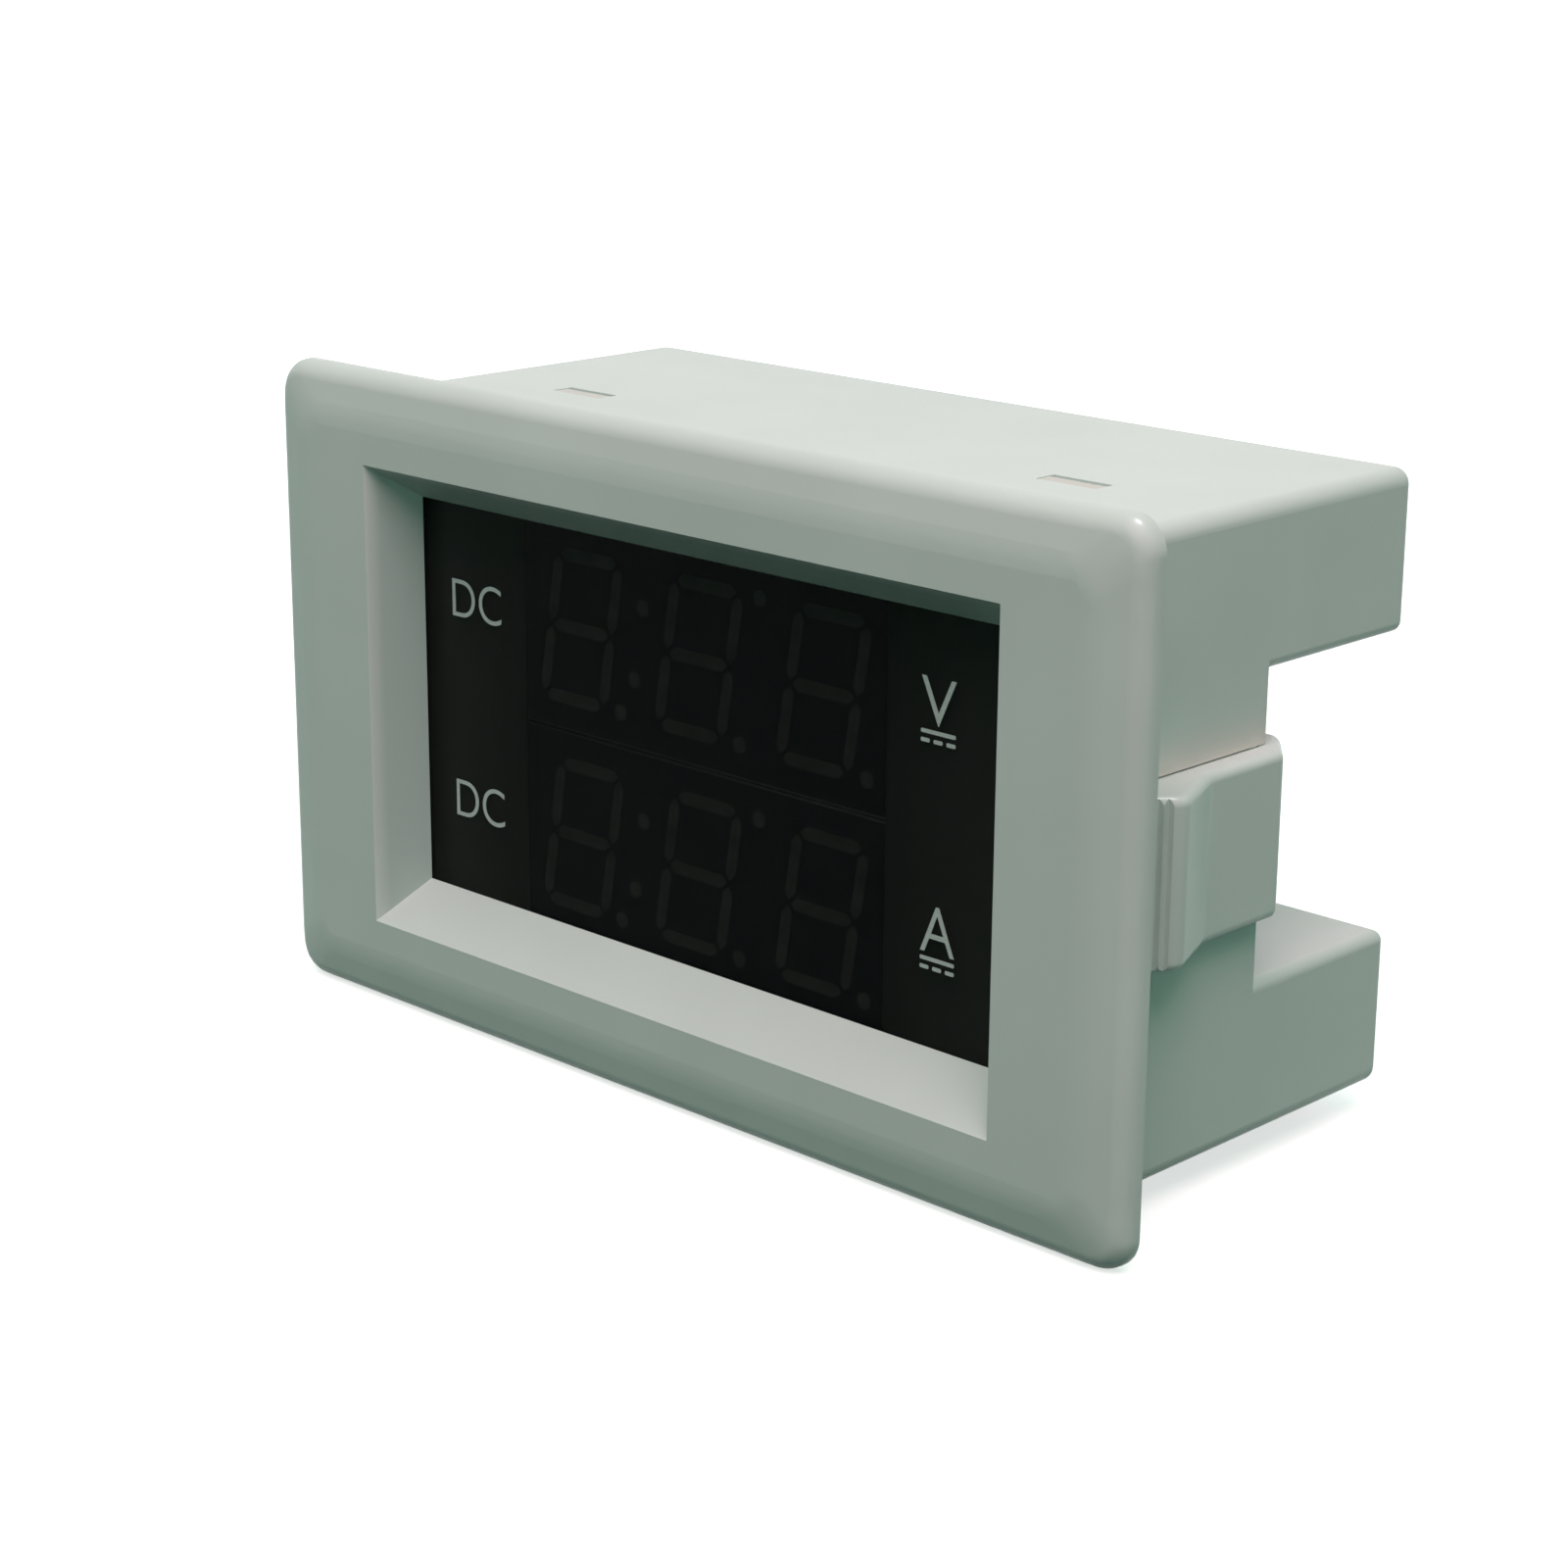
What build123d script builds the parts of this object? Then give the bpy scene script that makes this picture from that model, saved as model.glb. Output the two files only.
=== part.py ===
from build123d import *
import os

# Two-row digital panel meter with snap clips, sizes in millimetres.
# X runs to the right seen from the front, Y to the rear and Z up.
# Pieces are drawn about the centre of the panel seat, the rear plane of the flange,
# and moved at the end so that the origin lies under the middle of the bounding box.

# Flange and its rounded rim
bezel_w = 85.0
bezel_h = 50.0
flange_t = 2.5
flange_edge_r = 1.6
flange_corner_r = 2.6
flange_slope_w = 3.6
flange_slope_drop = 0.8
flange_slope_r = 8.0

# Tapered recess in front of the window
recess_w = 63.0
recess_h = 36.2
window_w = 58.3
window_h = 30.4
recess_depth = 3.8
window_rise = 0.3

# Housing behind the panel
body_w = 74.4
body_h = 45.2
body_depth = 34.4
wall = 1.8
body_edge_r = 1.2
inner_edge_r = 0.8
channel_h = 22.0
channel_y = 18.5
groove_depth = 0.6
fit_gap = 0.05
slip_gap = 0.1

# Rim and pane frame behind the flange
rim_t = 1.4
frame_t = 1.4
pane_overlap = 1.6
pane_t = 0.5
film_t = 0.1
film_window_w = 36.4
film_window_h = 31.0

# Latch arms that hold the front to the housing
latch_x = 24.2
latch_w = 5.0
latch_t = 1.2
latch_tooth_y = 12.6
latch_tooth_len = 1.8
latch_tooth_flat = 1.3
latch_end = 1.0
latch_sunk = 0.03
latch_window_gap = 0.05

# Side clips, drawn for the right side
clip_h = 11.8
clip_gap = 0.12
clip_edge_r = 0.7
clip_inner_x = 36.9
clip_pad_x = 38.9
clip_pad_y = 10.4
clip_pad_r = 1.5
clip_tip_x = 41.2
clip_tip_y = 4.9
clip_tip_r = 1.2
clip_front_x = 38.8
clip_front_y = 2.4
clip_step_x = 40.6
clip_steps = 4
clip_heel_x = 36.8
clip_heel_y = 18.3
clip_heel_r = 1.0
clip_rear_y = 20.9
clip_lip_x = 34.6
clip_lip_y = 16.2
clip_bar_r = 0.8
clip_bar_x = 36.3
clip_bar_y = 17.5
clip_mouth = 1.4
clip_slot_front = 1.9
clip_slot_x = 33.6

# Display modules and their segments
module_w = 36.8
module_h = 15.8
module_gap = 0.15
module_depth = 7.0
digit_pitch = 12.2
digit_w = 6.3
digit_h = 10.9
digits = 3
segment_t = 1.0
segment_gap = 0.24
segment_depth = 0.8
slant = 0.164
dot_r = 0.62
point_gap = 1.9
module_pin_pitch = 2.54
module_pin_count = 6
module_pin_row = 12.7
module_pin_w = 0.5
module_pin_t = 0.3
module_pin_out = 1.2

# Circuit boards
board_w = 69.6
board_h = 38.0
board_t = 1.6
board_notch_h = 14.4
board_notch_x = 32.0
board_space = 2.7
pin_hole_r = 0.4

# Bosses, spacers and board screws
boss_x = 32.6
boss_z = 14.0
boss_r = 2.0
boss_hole_r = 1.05
boss_hole_depth = 5.7
screw_r = 1.0
screw_head_r = 1.9
screw_head_t = 1.3
screw_bite = 5.2
screw_clear_r = 1.2
screw_cross_w = 0.5
screw_cross_len = 2.2
screw_cross_depth = 0.7

# Header between the boards
header_count = 10
header_pitch = 2.54
header_z = -17.2
header_w = 2.4
header_t = 2.5
header_pin_w = 0.6
header_pin_out = 0.8
header_hole_r = 0.5

# Small outline packages
chip_stand = 0.1
chip_t = 2.1
leg_pitch = 1.27
leg_w = 0.4
leg_t = 0.2
leg_foot = 0.8
leg_reach = 1.5
driver_w = 15.4
driver_h = 7.5
driver_legs = 12
driver_z = 8.0
controller_w = 12.8
controller_h = 7.5
controller_legs = 10
controller_x = -20.0
controller_z = 9.0
amplifier_w = 4.9
amplifier_h = 3.9
amplifier_legs = 4
amplifier_x = 20.0
chip_resistor_w = 1.6
chip_resistor_h = 0.8
chip_resistor_t = 0.45
chip_resistor_count = 8
chip_resistor_x = 11.5
chip_resistor_pitch = 2.2

# Parts that stand behind the main board
capacitor_r = 3.15
capacitor_len = 11.0
capacitor_edge_r = 0.4
capacitor_xs = (-17.0, -9.5, 17.0)
upper_z = 16.4
inductor_r = 3.4
inductor_core_r = 2.2
inductor_len = 7.5
inductor_flange_t = 1.2
inductor_lip = 0.3
inductor_x = 4.0
diode_r = 1.35
diode_len = 5.2
diode_x = -28.5
diode_lead_r = 0.35
diode_lead_reach = 2.2
diode_bend_r = 0.8
lower_z = -16.6
regulator_w = 10.2
regulator_t = 3.2
regulator_h = 9.0
regulator_tab_t = 1.3
regulator_tab_h = 15.2
regulator_hole_r = 1.8
regulator_hole_edge = 2.8
regulator_x = -10.0
regulator_lift = 2.0
regulator_leg_pitch = 2.54
regulator_leg_w = 0.8
regulator_leg_t = 0.5
crystal_w = 11.0
crystal_h = 4.5
crystal_t = 3.5
crystal_x = -22.5
resistor_r = 1.2
resistor_len = 6.3
resistor_lead_r = 0.3
resistor_lift = 1.0
resistor_count = 4
resistor_pitch = 4.2
resistor_x = 15.5
lead_through = 0.4
lead_hole_r = 0.55

# Barrier terminal block in the rear channel
ways = 6
way_pitch = 9.2
barrier_t = 1.4
block_h = 12.0
block_top_y = 22.0
barrier_top_y = 27.0
block_gap = 0.2
contact_side_gap = 0.3
contact_h = 9.0
contact_t = 0.8
tail_w = 1.2
tail_t = 0.8
tail_z = -4.0
tail_hole_r = 0.8
clamp_side_gap = 0.4
clamp_h = 7.0
clamp_t = 0.8
terminal_r = 1.5
terminal_fit = 0.05
terminal_reach = 6.0
terminal_head_r = 2.8
terminal_head_t = 2.0
terminal_edge_r = 0.5
cross_w = 0.8
cross_len = 3.4
cross_depth = 1.2

# Levels along Y that follow from the sizes above
window_y = recess_depth - flange_t
pane_rear_y = window_y + pane_t
film_rear_y = pane_rear_y + film_t
display_front_y = film_rear_y + module_depth
display_rear_y = display_front_y + board_t
main_front_y = display_rear_y + board_space
main_rear_y = main_front_y + board_t
floor_y = channel_y - wall
contact_top_y = block_top_y + contact_t
clamp_top_y = contact_top_y + clamp_t
inner_w = body_w - 2 * wall
inner_h = body_h - 2 * wall
pane_w = window_w + 2 * pane_overlap
pane_h = window_h + 2 * pane_overlap
block_w = ways * way_pitch + barrier_t
contact_w = way_pitch - barrier_t - 2 * contact_side_gap
clamp_w = way_pitch - barrier_t - 2 * clamp_side_gap
way_xs = [(i - (ways - 1) / 2) * way_pitch for i in range(ways)]
module_zs = {"upper": (module_h + module_gap) / 2, "lower": -(module_h + module_gap) / 2}
corners = [(sx * boss_x, sz * boss_z) for sx in (-1, 1) for sz in (-1, 1)]

# The origin of the part: under the middle of the bounding box
home = Pos(0, (flange_t - body_depth) / 2, bezel_h / 2)


def slab(sketch, y0, y1):
    """A flat outline, drawn in X and Z, made solid from y0 to y1."""
    return extrude(Plane.XZ.offset(-y1) * sketch, amount=y1 - y0, dir=(0, -1, 0))


def bar(w, h, y0, y1, x=0.0, z=0.0):
    return slab(Pos(x, z) * Rectangle(w, h), y0, y1)


def rod(r, y0, y1, x=0.0, z=0.0):
    return slab(Pos(x, z) * Circle(r), y0, y1)


def side_prism(points, w, x=0.0):
    """An outline in Y and Z made solid over the width w about x."""
    return extrude(Plane.YZ.offset(x) * Polygon(*points, align=None), amount=w / 2, both=True)


def cross_recess(shape, w, length, depth, top, x=0.0, z=0.0):
    """Cut a cross for a screwdriver into a head that ends at top."""
    shape -= bar(w, length, top - depth, top, x, z)
    return shape - bar(length, w, top - depth, top, x, z)


def save(name, *pieces):
    """One node: a single solid, or a group of separate solids."""
    solids = [home * piece.solid() for piece in pieces]
    shape = solids[0] if len(solids) == 1 else Compound(children=solids)
    export_step(shape, f"parts/{name}.step")


# Front frame: flange, recess, pane seat, rim, bosses and latch arms
def flange_plate():
    """The flange, whose front falls away slightly to its rounded rim."""
    level_w = bezel_w - 2 * flange_slope_w
    level_h = bezel_h - 2 * flange_slope_w
    side_t = flange_t - flange_slope_drop
    outline = RectangleRounded(bezel_w, bezel_h, flange_corner_r)
    plate = slab(outline, -side_t, 0)
    plate += loft([
        Plane.XZ.offset(side_t) * outline,
        Plane.XZ.offset(flange_t) * RectangleRounded(level_w, level_h, flange_corner_r),
    ])
    front = plate.faces().sort_by(Axis.Y)[0]
    plate = fillet(front.edges(), flange_slope_r)
    rim = plate.edges().filter_by(
        lambda e: abs(e.center().Y + side_t) < fit_gap / 2
        and max(abs(e.center().X) * 2 / bezel_w, abs(e.center().Z) * 2 / bezel_h) > 0.9)
    return fillet(rim, flange_edge_r)


def latch_arm(side_x, side_z):
    outer = inner_h / 2 - slip_gap
    tooth_end = latch_tooth_y + latch_tooth_len
    arm_end = tooth_end + latch_end
    tooth_top = body_h / 2 - latch_sunk
    profile = [
        (0, outer - latch_t),
        (arm_end, outer - latch_t),
        (arm_end, outer),
        (tooth_end, outer),
        (latch_tooth_y + latch_tooth_flat, tooth_top),
        (latch_tooth_y, tooth_top),
        (latch_tooth_y, outer),
        (0, outer),
    ]
    points = [(y, side_z * z) for y, z in profile]
    return side_prism(points, latch_w, side_x * latch_x)


def front_bezel():
    rim_w = inner_w - 2 * slip_gap
    rim_h = inner_h - 2 * slip_gap
    frame_w = pane_w + 2 * (slip_gap + frame_t)
    frame_h = pane_h + 2 * (slip_gap + frame_t)
    groove = RectangleRounded(body_w + 2 * fit_gap, body_h + 2 * fit_gap, body_edge_r)
    shape = flange_plate()
    shape -= slab(groove - Rectangle(rim_w, rim_h), -groove_depth, 0)
    rim = Rectangle(rim_w, rim_h) - Rectangle(rim_w - 2 * rim_t, rim_h - 2 * rim_t)
    shape += slab(rim, -groove_depth, film_rear_y)
    shape += bar(frame_w, frame_h, -groove_depth, film_rear_y)
    for x, z in corners:
        shape += rod(boss_r, -groove_depth, display_front_y, x, z)
    for side_x in (-1, 1):
        for side_z in (-1, 1):
            shape += latch_arm(side_x, side_z)
    shape -= loft([
        Plane.XZ.offset(flange_t) * Rectangle(recess_w, recess_h),
        Plane.XZ.offset(-window_y) * Pos(0, window_rise) * Rectangle(window_w, window_h),
    ])
    shape -= bar(pane_w + 2 * slip_gap, pane_h + 2 * slip_gap, window_y, film_rear_y)
    for x, z in corners:
        shape -= rod(boss_hole_r, display_front_y - boss_hole_depth, display_front_y, x, z)
    return shape


# Rear housing: a box with a channel across its back
def channel_profile(inset, front, floor):
    top = body_h / 2 - inset
    lip = channel_h / 2 + inset
    back = body_depth - inset
    return [
        (front, -top), (back, -top), (back, -lip), (floor, -lip),
        (floor, lip), (back, lip), (back, top), (front, top),
    ]


def housing_shell():
    outer = side_prism(channel_profile(0, -groove_depth, channel_y), body_w)
    long_edges = outer.edges().filter_by(Axis.Y).filter_by(
        lambda e: abs(abs(e.center().Z) - body_h / 2) < fit_gap)
    outer = fillet(long_edges, body_edge_r)
    rear_edges = outer.faces().filter_by(Axis.Y).filter_by(
        lambda f: f.center().Y > channel_y + wall).edges()
    channel_edges = outer.edges().filter_by(Axis.Y).filter_by(
        lambda e: abs(abs(e.center().Z) - channel_h / 2) < fit_gap)
    outer = fillet(rear_edges + channel_edges, inner_edge_r)
    cavity = side_prism(channel_profile(wall, -groove_depth, floor_y), inner_w)
    return outer - cavity


def housing():
    shape = housing_shell()
    window_len = latch_tooth_len + 2 * latch_window_gap
    window_mid = latch_tooth_y + latch_tooth_len / 2
    for side_x in (-1, 1):
        for side_z in (-1, 1):
            place = Pos(side_x * latch_x, window_mid, side_z * (body_h - wall) / 2)
            shape -= place * Box(latch_w + 2 * latch_window_gap, window_len, 2 * wall)
    slot_h = clip_h + 2 * clip_gap
    slot_len = channel_y + wall - clip_slot_front
    slot_w = body_w / 2 + wall - clip_slot_x
    for side in (-1, 1):
        place = Pos(side * (clip_slot_x + slot_w / 2), clip_slot_front + slot_len / 2, 0)
        shape -= place * Box(slot_w, slot_len, slot_h)
        shape += Pos(side * clip_bar_x, clip_bar_y, 0) * Cylinder(clip_bar_r, slot_h + fit_gap)
    return shape - bar(block_w + 2 * block_gap, block_h + 2 * block_gap, floor_y, channel_y)


# Side clip: a pad with a stepped barb in front and a hook round the hinge bar
def upright_edges(shape, x, y):
    return shape.edges().filter_by(Axis.Z).filter_by(
        lambda e: abs(e.center().X - x) + abs(e.center().Y - y) < fit_gap)


def clip_blank():
    """The clip's outline made solid, with rounded corners and a rounded outer edge."""
    outline = [
        (clip_inner_x, clip_front_y),
        (clip_inner_x, clip_lip_y),
        (clip_lip_x, clip_lip_y),
        (clip_lip_x, clip_rear_y),
        (clip_heel_x, clip_rear_y),
        (clip_pad_x, clip_heel_y),
        (clip_pad_x, clip_pad_y),
        (clip_tip_x, clip_tip_y),
        (clip_front_x, clip_front_y),
    ]
    shape = extrude(Polygon(*outline, align=None), amount=clip_h / 2, both=True)
    shape = fillet(upright_edges(shape, clip_tip_x, clip_tip_y), clip_tip_r)
    shape = fillet(upright_edges(shape, clip_pad_x, clip_pad_y), clip_pad_r)
    shape = fillet(upright_edges(shape, clip_pad_x, clip_heel_y), clip_heel_r)
    rims = shape.edges().filter_by(
        lambda e: abs(abs(e.center().Z) - clip_h / 2) < fit_gap
        and e.center().X > clip_inner_x + fit_gap
        and e.center().Y > clip_front_y + fit_gap)
    return fillet(rims, clip_edge_r)


def right_clip():
    shape = clip_blank()
    run = (clip_step_x - clip_front_x) / clip_steps
    rise = run * (clip_tip_y - clip_front_y) / (clip_tip_x - clip_front_x)
    for i in range(clip_steps):
        place = Pos(clip_front_x + (i + 0.5) * run, clip_front_y + (i + 0.5) * rise, 0)
        shape -= place * Box(run, rise, clip_h)
    shape -= Pos(clip_bar_x, clip_bar_y, 0) * Cylinder(clip_bar_r + fit_gap, clip_h)
    mouth_len = clip_bar_y - clip_lip_y
    place = Pos(clip_bar_x, clip_lip_y + mouth_len / 2, 0)
    return shape - place * Box(clip_mouth, mouth_len, clip_h)


# Window pane and printed film
def filter_window():
    return bar(pane_w, pane_h, window_y, pane_rear_y)


def mask_film():
    sheet = Rectangle(pane_w, pane_h) - Rectangle(film_window_w, film_window_h)
    return slab(sheet, pane_rear_y, film_rear_y)


# Seven-segment figures of one row
def segment(x0, z0, x1, z1):
    """A six-sided segment between two corners of a figure, leaning with the slant."""
    half = segment_t / 2
    if z0 == z1:
        a, b = x0 + segment_gap, x1 - segment_gap
        points = [(a, z0), (a + half, z0 + half), (b - half, z0 + half),
                  (b, z0), (b - half, z0 - half), (a + half, z0 - half)]
    else:
        a, b = z0 + segment_gap, z1 - segment_gap
        points = [(x0, a), (x0 + half, a + half), (x0 + half, b - half),
                  (x0, b), (x0 - half, b - half), (x0 - half, a + half)]
    return Polygon(*[(x + slant * z, z) for x, z in points], align=None)


def figure():
    left, right = -digit_w / 2, digit_w / 2
    top, bottom = digit_h / 2, -digit_h / 2
    flat = [segment(left, z, right, z) for z in (bottom, 0, top)]
    upright = [segment(x, z, x, z + digit_h / 2) for x in (left, right) for z in (bottom, 0)]
    return flat + upright


def row_sketches(z):
    """All segments and dots of a row, as flat outlines centred on height z."""
    pieces = []
    for i in range(digits):
        x = (i - (digits - 1) / 2) * digit_pitch
        pieces += [Pos(x, z) * s for s in figure()]
        point_x = x + digit_w / 2 + point_gap - slant * digit_h / 2
        pieces.append(Pos(point_x, z - digit_h / 2) * Circle(dot_r))
    gap_x = -digit_pitch / 2
    for dz in (digit_h / 4, -digit_h / 4):
        pieces.append(Pos(gap_x + slant * dz, z + dz) * Circle(dot_r))
    pieces.append(Pos(digit_pitch / 2, z + digit_h / 2) * Circle(dot_r))
    return pieces


def segments(z):
    return [slab(s, film_rear_y, film_rear_y + segment_depth) for s in row_sketches(z)]


def led_module(z):
    body = bar(module_w, module_h, film_rear_y, display_front_y, 0, z)
    for piece in segments(z):
        body -= piece
    return body


def module_pin_places():
    return [((i - (module_pin_count - 1) / 2) * module_pin_pitch, z + side * module_pin_row / 2)
            for z in module_zs.values() for side in (-1, 1) for i in range(module_pin_count)]


def module_pins():
    return [bar(module_pin_w, module_pin_t, display_front_y, display_rear_y + module_pin_out, x, z)
            for x, z in module_pin_places()]


# Circuit boards with their holes
def board(y0, holes):
    sheet = Rectangle(board_w, board_h)
    for side in (-1, 1):
        cut = board_w / 2 - board_notch_x
        sheet -= Pos(side * (board_notch_x + cut / 2), 0) * Rectangle(cut, board_notch_h)
    for x, z in corners:
        sheet -= Pos(x, z) * Circle(screw_clear_r)
    for x, z, r in holes:
        sheet -= Pos(x, z) * Circle(r)
    return slab(sheet, y0, y0 + board_t)


def header_places():
    return [((i - (header_count - 1) / 2) * header_pitch, header_z) for i in range(header_count)]


def display_board():
    holes = [(x, z, pin_hole_r) for x, z in module_pin_places()]
    holes += [(x, z, header_hole_r) for x, z in header_places()]
    return board(display_front_y, holes)


def main_board():
    holes = [(x, z, header_hole_r) for x, z in header_places()]
    holes += [(x, tail_z, tail_hole_r) for x in way_xs]
    holes += [(x, lower_z, resistor_lead_r + slip_gap) for x in resistor_places()]
    holes += [(x, regulator_leg_z(), lead_hole_r) for x in regulator_leg_places()]
    return board(main_front_y, holes)


def header_body():
    length = header_count * header_pitch
    shape = bar(length, header_w, display_rear_y, display_rear_y + header_t, 0, header_z)
    for x, z in header_places():
        shape -= bar(header_pin_w, header_pin_w, display_rear_y, main_front_y, x, z)
    return shape


def header_pins():
    y0 = display_front_y - header_pin_out
    y1 = main_rear_y + header_pin_out
    return [bar(header_pin_w, header_pin_w, y0, y1, x, z) for x, z in header_places()]


def board_spacers():
    ring = Circle(boss_r) - Circle(screw_clear_r)
    return [slab(Pos(x, z) * ring, display_rear_y, main_front_y) for x, z in corners]


def board_screws():
    pieces = []
    for x, z in corners:
        top = main_rear_y + screw_head_t
        shape = rod(screw_head_r, main_rear_y, top, x, z)
        shape += rod(screw_r, display_front_y - screw_bite, main_rear_y, x, z)
        pieces.append(cross_recess(shape, screw_cross_w, screw_cross_len, screw_cross_depth, top, x, z))
    return pieces


# Small outline chips with gull-wing legs; way is +1 on a board's rear side, -1 on its front
def chip(w, h, face, way, x, z):
    near = face + way * chip_stand
    far = near + way * chip_t
    return bar(w, h, min(near, far), max(near, far), x, z)


def gull_leg(x, edge_z, out, face, way):
    """One leg: from the chip's side out, down and along the board."""
    mid = chip_stand + chip_t / 2
    knee = leg_reach - leg_foot
    profile = [
        (0, mid), (knee, mid), (knee, leg_t), (leg_reach, leg_t),
        (leg_reach, 0), (knee - leg_t, 0), (knee - leg_t, mid - leg_t), (0, mid - leg_t),
    ]
    points = [(face + way * y, edge_z + out * u) for u, y in profile]
    return side_prism(points, leg_w, x)


def chip_legs(count, h, face, way, x, z):
    pieces = []
    for i in range(count):
        leg_x = x + (i - (count - 1) / 2) * leg_pitch
        for out in (-1, 1):
            pieces.append(gull_leg(leg_x, z + out * h / 2, out, face, way))
    return pieces


def chip_resistors():
    pieces = []
    for side in (-1, 1):
        for i in range(chip_resistor_count // 2):
            z = side * (driver_z + (i - (chip_resistor_count / 2 - 1) / 2) * chip_resistor_pitch)
            pieces.append(bar(chip_resistor_w, chip_resistor_h, display_rear_y,
                              display_rear_y + chip_resistor_t, chip_resistor_x, z))
    return pieces


# Tall parts that reach back into the two hollow arms of the housing
def capacitors():
    cans = [rod(capacitor_r, main_rear_y, main_rear_y + capacitor_len, x, upper_z) for x in capacitor_xs]
    return [fillet(can.edges(), capacitor_edge_r) for can in cans]


def inductor():
    y1 = main_rear_y + inductor_len
    shape = rod(inductor_core_r, main_rear_y, y1, inductor_x, upper_z)
    shape += rod(inductor_r, main_rear_y, main_rear_y + inductor_flange_t, inductor_x, upper_z)
    return shape + rod(inductor_r, y1 - inductor_flange_t, y1, inductor_x, upper_z)


def inductor_winding():
    ring = Circle(inductor_r - inductor_lip) - Circle(inductor_core_r)
    y0 = main_rear_y + inductor_flange_t
    y1 = main_rear_y + inductor_len - inductor_flange_t
    return slab(Pos(inductor_x, upper_z) * ring, y0, y1)


def diode():
    """A round body lying along X on a lead that bends down to the board at both ends."""
    reach = diode_len / 2 + diode_lead_reach
    level = main_rear_y + diode_r
    route = FilletPolyline(
        (diode_x - reach, main_rear_y, upper_z),
        (diode_x - reach, level, upper_z),
        (diode_x + reach, level, upper_z),
        (diode_x + reach, main_rear_y, upper_z),
        radius=diode_bend_r,
    )
    lead = sweep(Plane(route @ 0, z_dir=route % 0) * Circle(diode_lead_r), path=route)
    body = Pos(diode_x, level, upper_z) * Rot(0, 90, 0) * Cylinder(diode_r, diode_len)
    return body + lead


def regulator_leg_z():
    return lower_z + regulator_t / 2


def regulator_leg_places():
    return [regulator_x + i * regulator_leg_pitch for i in (-1, 0, 1)]


def regulator_body():
    y0 = main_rear_y + regulator_lift
    return bar(regulator_w, regulator_t, y0, y0 + regulator_h, regulator_x, regulator_leg_z())


def regulator_tab():
    """The metal back with its screw hole, and the three legs."""
    y0 = main_rear_y + regulator_lift
    y1 = y0 + regulator_tab_h
    z = lower_z - regulator_tab_t / 2
    hole = Pos(regulator_x, y1 - regulator_hole_edge, z) * Cylinder(regulator_hole_r, 2 * regulator_t)
    plate = bar(regulator_w, regulator_tab_t, y0, y1, regulator_x, z) - hole
    legs = [bar(regulator_leg_w, regulator_leg_t, main_front_y - lead_through, y0, x,
                regulator_leg_z()) for x in regulator_leg_places()]
    return [plate] + legs


def crystal():
    can = RectangleRounded(crystal_w, crystal_h, crystal_h / 2 - slip_gap)
    return slab(Pos(crystal_x, lower_z) * can, main_rear_y, main_rear_y + crystal_t)


def resistor_places():
    return [resistor_x + i * resistor_pitch for i in range(resistor_count)]


def divider_resistors():
    pieces = []
    for x in resistor_places():
        y0 = main_rear_y + resistor_lift
        body = rod(resistor_r, y0, y0 + resistor_len, x, lower_z)
        lead = rod(resistor_lead_r, main_front_y - lead_through, y0, x, lower_z)
        pieces.append(body + lead)
    return pieces


# Barrier block, contacts, clamp plates and terminal screws
def terminal_block():
    shape = bar(block_w, block_h, main_rear_y, block_top_y)
    for i in range(ways + 1):
        x = (i - ways / 2) * way_pitch
        shape += bar(barrier_t, block_h, block_top_y, barrier_top_y, x)
    for x in way_xs:
        shape -= rod(terminal_r + slip_gap, clamp_top_y - terminal_reach - clamp_t, block_top_y, x)
        shape -= bar(tail_w + fit_gap, tail_t + fit_gap, main_rear_y, block_top_y, x, tail_z)
    return shape


def contact(x):
    plate = bar(contact_w, contact_h, block_top_y, contact_top_y, x)
    plate -= rod(terminal_r + terminal_fit, block_top_y, contact_top_y, x)
    return plate + bar(tail_w, tail_t, main_front_y - lead_through, block_top_y, x, tail_z)


def clamp_plate(x):
    plate = bar(clamp_w, clamp_h, contact_top_y, clamp_top_y, x)
    return plate - rod(terminal_r + terminal_fit, contact_top_y, clamp_top_y, x)


def terminal_screw(x):
    top = clamp_top_y + terminal_head_t
    shape = rod(terminal_head_r, clamp_top_y, top, x)
    shape = fillet(shape.edges().group_by(Axis.Y)[-1], terminal_edge_r)
    shape += rod(terminal_r, clamp_top_y - terminal_reach, clamp_top_y, x)
    return cross_recess(shape, cross_w, cross_len, cross_depth, top, x)


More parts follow.
